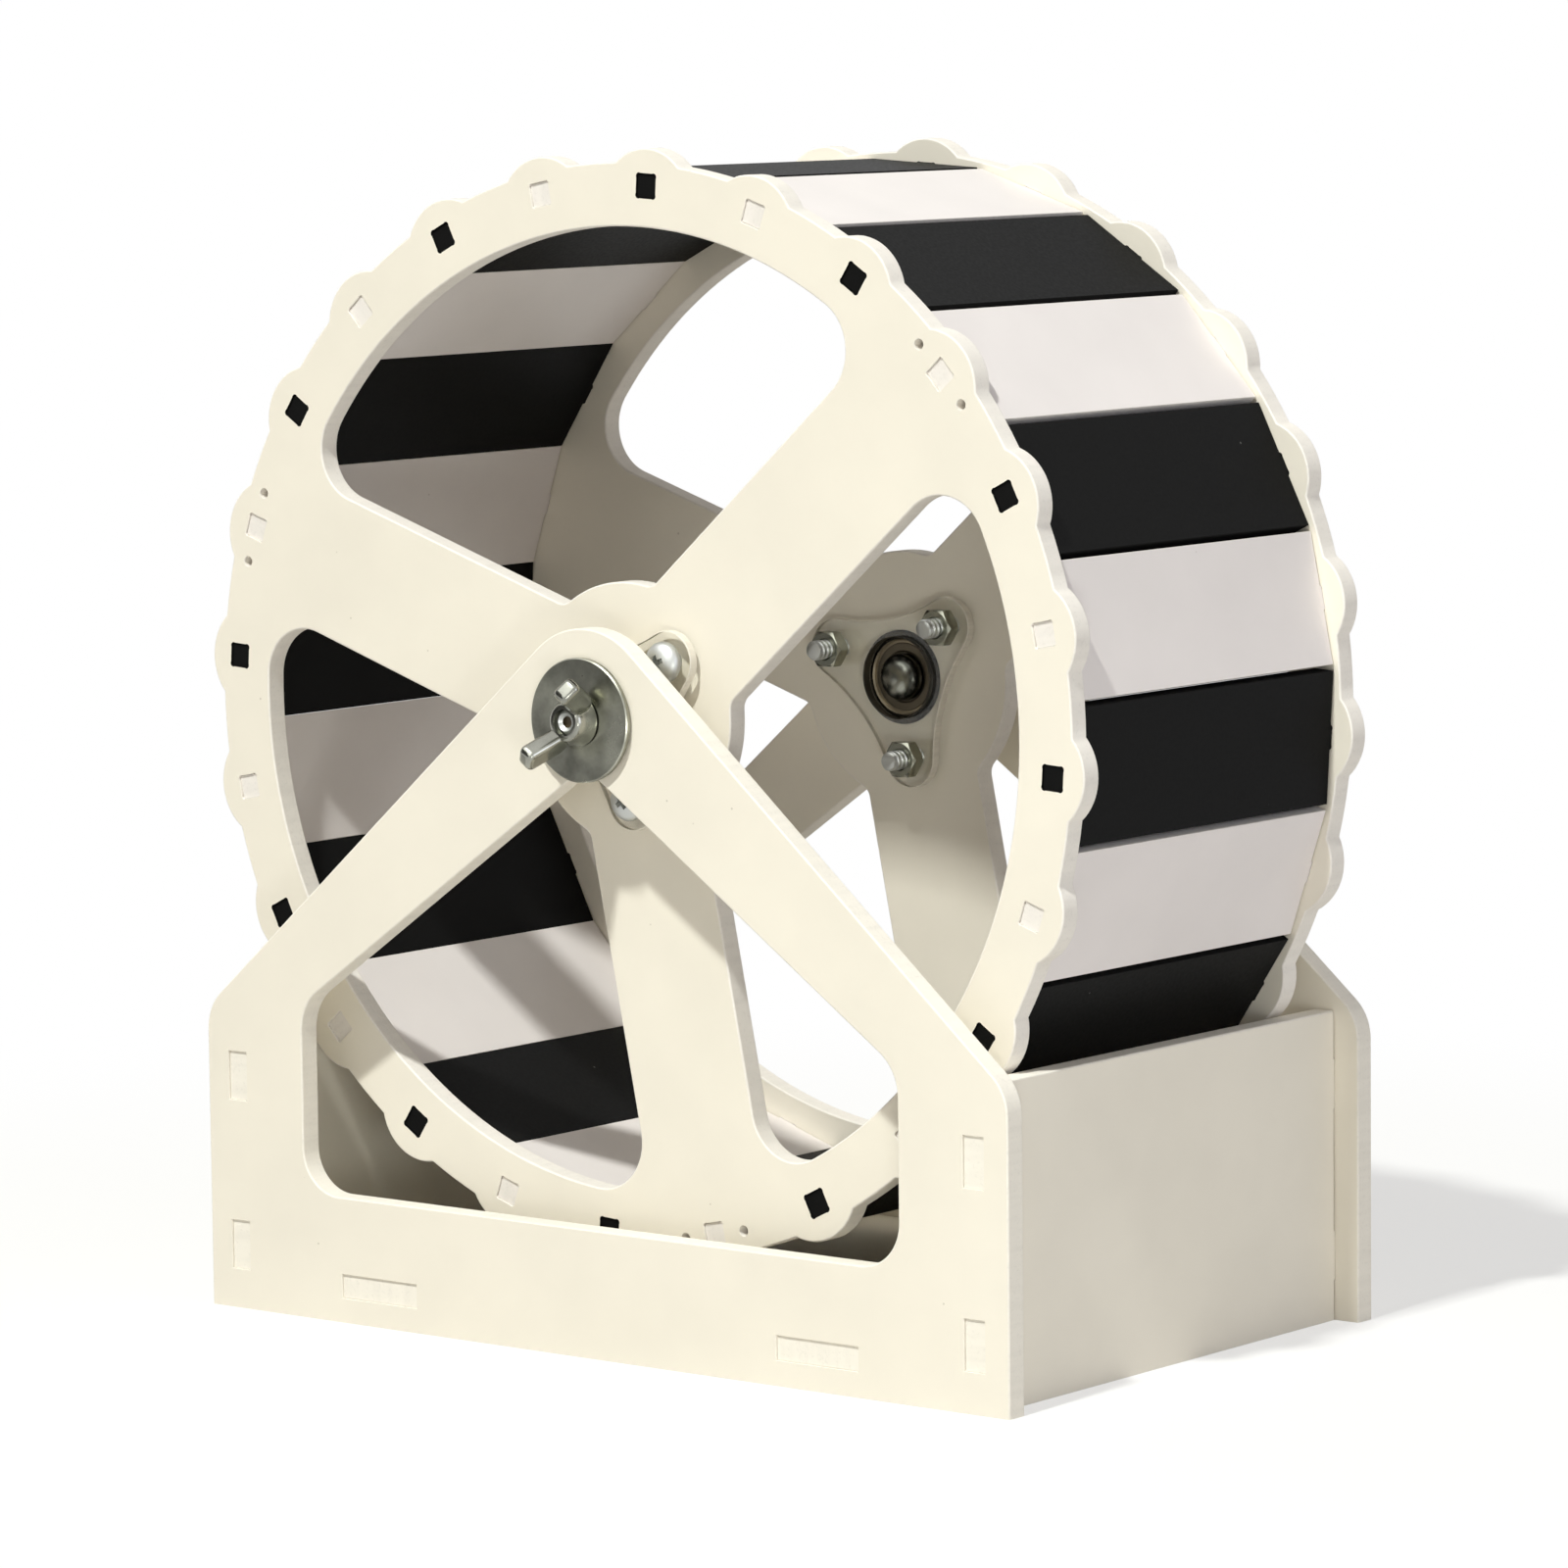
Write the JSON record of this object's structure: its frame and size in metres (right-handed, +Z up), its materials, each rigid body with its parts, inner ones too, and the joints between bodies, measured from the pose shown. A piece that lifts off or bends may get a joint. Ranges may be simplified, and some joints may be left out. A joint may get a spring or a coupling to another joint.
{
  "type": "hamster wheel",
  "caption": "Free-standing hamster wheel: scalloped discs and black and white slats on ball bearings in a slot-and-tab board frame.",
  "frame": {"origin": "on the ground, at the middle of the frame's length and depth", "axes": "+Z up, the front panel faces -Y, the wheel's axis is along Y"},
  "size_m": [0.217, 0.1446, 0.2325],
  "materials": {
    "frame_board": "satin",
    "disc_board": "satin",
    "white_slat_board": "satin",
    "black_slat_board": "satin",
    "clear_sheet": "clear polished",
    "bearing_steel": "ground",
    "zinc_plated_steel": "bright zinc"
  },
  "bodies": {
    "frame": {"front_panel": "frame_board", "rear_panel": "frame_board", "left_side_panel": "frame_board", "right_side_panel": "frame_board", "floor_panel": "frame_board", "front_axle_bolt": "zinc_plated_steel", "front_spacer": "zinc_plated_steel", "front_washer": "zinc_plated_steel", "front_bearing_inner_ring": "bearing_steel", "rear_axle_bolt": "zinc_plated_steel", "rear_spacer": "zinc_plated_steel", "rear_washer": "zinc_plated_steel", "rear_bearing_inner_ring": "bearing_steel"},
    "wheel": {"front_disc": "disc_board", "rear_disc": "disc_board", "white_slat_01": "white_slat_board", "white_slat_02": "white_slat_board", "white_slat_03": "white_slat_board", "white_slat_04": "white_slat_board", "white_slat_05": "white_slat_board", "white_slat_06": "white_slat_board", "white_slat_07": "white_slat_board", "white_slat_08": "white_slat_board", "white_slat_09": "white_slat_board", "white_slat_10": "white_slat_board", "white_slat_11": "white_slat_board", "white_slat_12": "white_slat_board", "black_slat_01": "black_slat_board", "black_slat_02": "black_slat_board", "black_slat_03": "black_slat_board", "black_slat_04": "black_slat_board", "black_slat_05": "black_slat_board", "black_slat_06": "black_slat_board", "black_slat_07": "black_slat_board", "black_slat_08": "black_slat_board", "black_slat_09": "black_slat_board", "black_slat_10": "black_slat_board", "black_slat_11": "black_slat_board", "black_slat_12": "black_slat_board", "front_outer_hub_plate": "clear_sheet", "front_bearing_outer_ring": "bearing_steel", "front_inner_hub_plate": "clear_sheet", "front_hub_bolt_1": "zinc_plated_steel", "front_hub_nut_1": "zinc_plated_steel", "front_hub_bolt_2": "zinc_plated_steel", "front_hub_nut_2": "zinc_plated_steel", "front_hub_bolt_3": "zinc_plated_steel", "front_hub_nut_3": "zinc_plated_steel", "rear_outer_hub_plate": "clear_sheet", "rear_bearing_outer_ring": "bearing_steel", "rear_inner_hub_plate": "clear_sheet", "rear_hub_bolt_1": "zinc_plated_steel", "rear_hub_nut_1": "zinc_plated_steel", "rear_hub_bolt_2": "zinc_plated_steel", "rear_hub_nut_2": "zinc_plated_steel", "rear_hub_bolt_3": "zinc_plated_steel", "rear_hub_nut_3": "zinc_plated_steel"},
    "front_wing_nut": {"front_wing_nut": "zinc_plated_steel"},
    "rear_wing_nut": {"rear_wing_nut": "zinc_plated_steel"}
  },
  "joints": [
    {"name": "wheel_spin", "type": "hinge", "parent": "frame", "child": "wheel", "pos_m": [0, -0.00075, 0.124], "axis": [0, 1, 0], "continuous": true},
    {"name": "front_wing_nut_turn", "type": "hinge", "parent": "frame", "child": "front_wing_nut", "pos_m": [0, -0.062, 0.124], "axis": [0, 1, 0], "continuous": true},
    {"name": "rear_wing_nut_turn", "type": "hinge", "parent": "frame", "child": "rear_wing_nut", "pos_m": [0, 0.062, 0.124], "axis": [0, 1, 0], "continuous": true}
  ]
}
